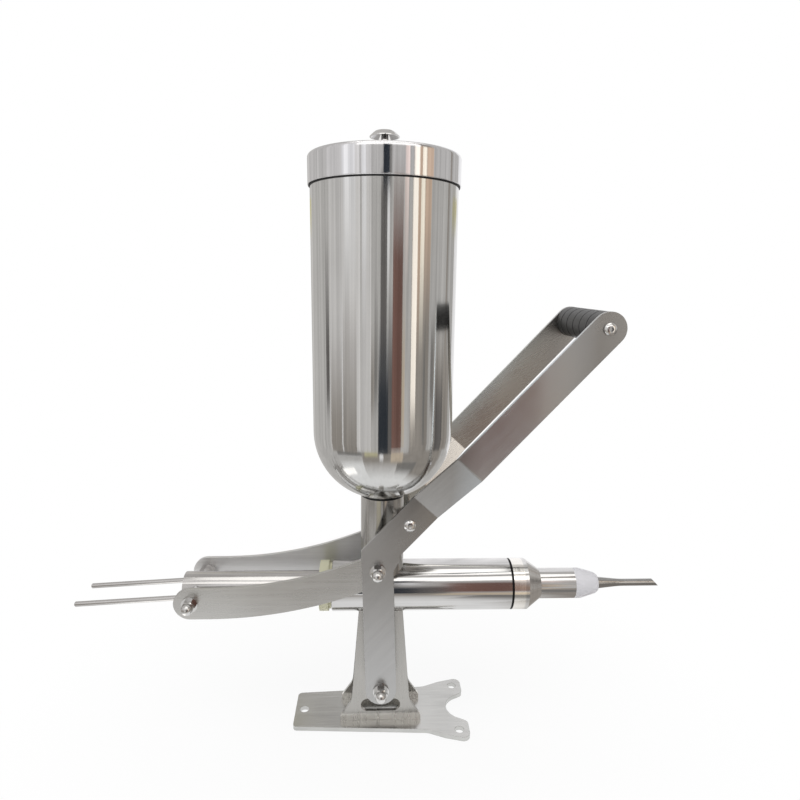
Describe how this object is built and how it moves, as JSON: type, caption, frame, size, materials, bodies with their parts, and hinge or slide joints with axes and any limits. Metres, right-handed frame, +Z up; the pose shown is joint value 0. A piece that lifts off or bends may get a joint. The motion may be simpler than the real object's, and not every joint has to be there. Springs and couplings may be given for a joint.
{
  "type": "donut filler",
  "caption": "Bench-top lever pump that pushes filling from an upright steel hopper through a barrel and needle nozzle, on a drilled base plate.",
  "frame": {"origin": "on the underside of the base plate, straight below the hopper's axis", "axes": "+X along the pump barrel towards the needle, +Y across the machine, +Z up the hopper"},
  "size_m": [0.6612, 0.154, 0.6547],
  "materials": {
    "polished_steel": "mirror-polished stainless steel",
    "satin_steel": "warm grey satin stainless sheet",
    "brushed_steel": "lengthwise brushed stainless steel",
    "bright_fasteners": "bright stainless hardware",
    "black_rubber": "matt black rubber",
    "white_plastic": "machined white fluoroplastic",
    "yellow_nylon": "pale yellow-green machined nylon"
  },
  "bodies": {
    "stand": {"base_plate": "satin_steel", "stand_plate_front": "satin_steel", "stand_plate_rear": "satin_steel", "barrel": "polished_steel", "neck_tube": "polished_steel", "rod_guide_bush": "yellow_nylon", "outlet_seal": "black_rubber", "outlet_cap": "polished_steel", "outlet_tube": "polished_steel", "nozzle_coupler": "white_plastic", "valve_seat": "white_plastic", "needle_nozzle": "brushed_steel", "hopper_gasket": "black_rubber", "hopper": "polished_steel", "lid_gasket": "black_rubber", "pivot_bolt": "bright_fasteners", "pivot_sleeves": "bright_fasteners", "pivot_washers": "bright_fasteners", "pivot_nuts": "bright_fasteners"},
    "lid": {"lid": "polished_steel", "lid_knob": "polished_steel"},
    "lever": {"lever_plate_front": "satin_steel", "lever_plate_rear": "satin_steel", "stop_rod": "bright_fasteners", "stop_rod_screws": "bright_fasteners", "grip_rod": "bright_fasteners", "grip": "black_rubber", "grip_screws": "bright_fasteners", "link_pins": "bright_fasteners", "link_pin_washers": "bright_fasteners", "link_pin_nuts": "bright_fasteners"},
    "links": {"link_front": "brushed_steel", "link_rear": "brushed_steel", "link_end_bolts": "bright_fasteners", "link_end_washers": "bright_fasteners", "link_end_nuts": "bright_fasteners"},
    "plunger": {"plunger_tube": "brushed_steel", "piston_head": "white_plastic", "piston_o_rings": "black_rubber", "hex_bosses": "bright_fasteners", "cross_pin": "bright_fasteners", "tail_rod_front": "brushed_steel", "tail_rod_rear": "brushed_steel"},
    "check_ball": {"valve_ball": "bright_fasteners"}
  },
  "joints": [
    {"name": "lever_press", "type": "hinge", "parent": "stand", "child": "lever", "pos_m": [-0.001, 0, 0.061], "axis": [0, 1, 0], "range_deg": [0, 37.2]},
    {"name": "link_swing", "type": "hinge", "parent": "lever", "child": "links", "pos_m": [-0.00525, 0, 0.20434], "axis": [0, 1, 0], "range_deg": [-30, 0]},
    {"name": "plunger_slide", "type": "slide", "parent": "stand", "child": "plunger", "axis": [1, 0, 0], "range_m": [0, 0.0847]},
    {"name": "lid_lift", "type": "slide", "parent": "stand", "child": "lid", "axis": [0, 0, 1], "range_m": [0, 0.06]},
    {"name": "valve_ball_lift", "type": "slide", "parent": "stand", "child": "check_ball", "axis": [1, 0, 0], "range_m": [0, 0.0034]}
  ],
  "couplings": [
    {"joint": "link_swing", "follows": "lever_press", "ratio": -0.79851},
    {"joint": "plunger_slide", "follows": "lever_press", "m_per_rad": 0.12976}
  ]
}
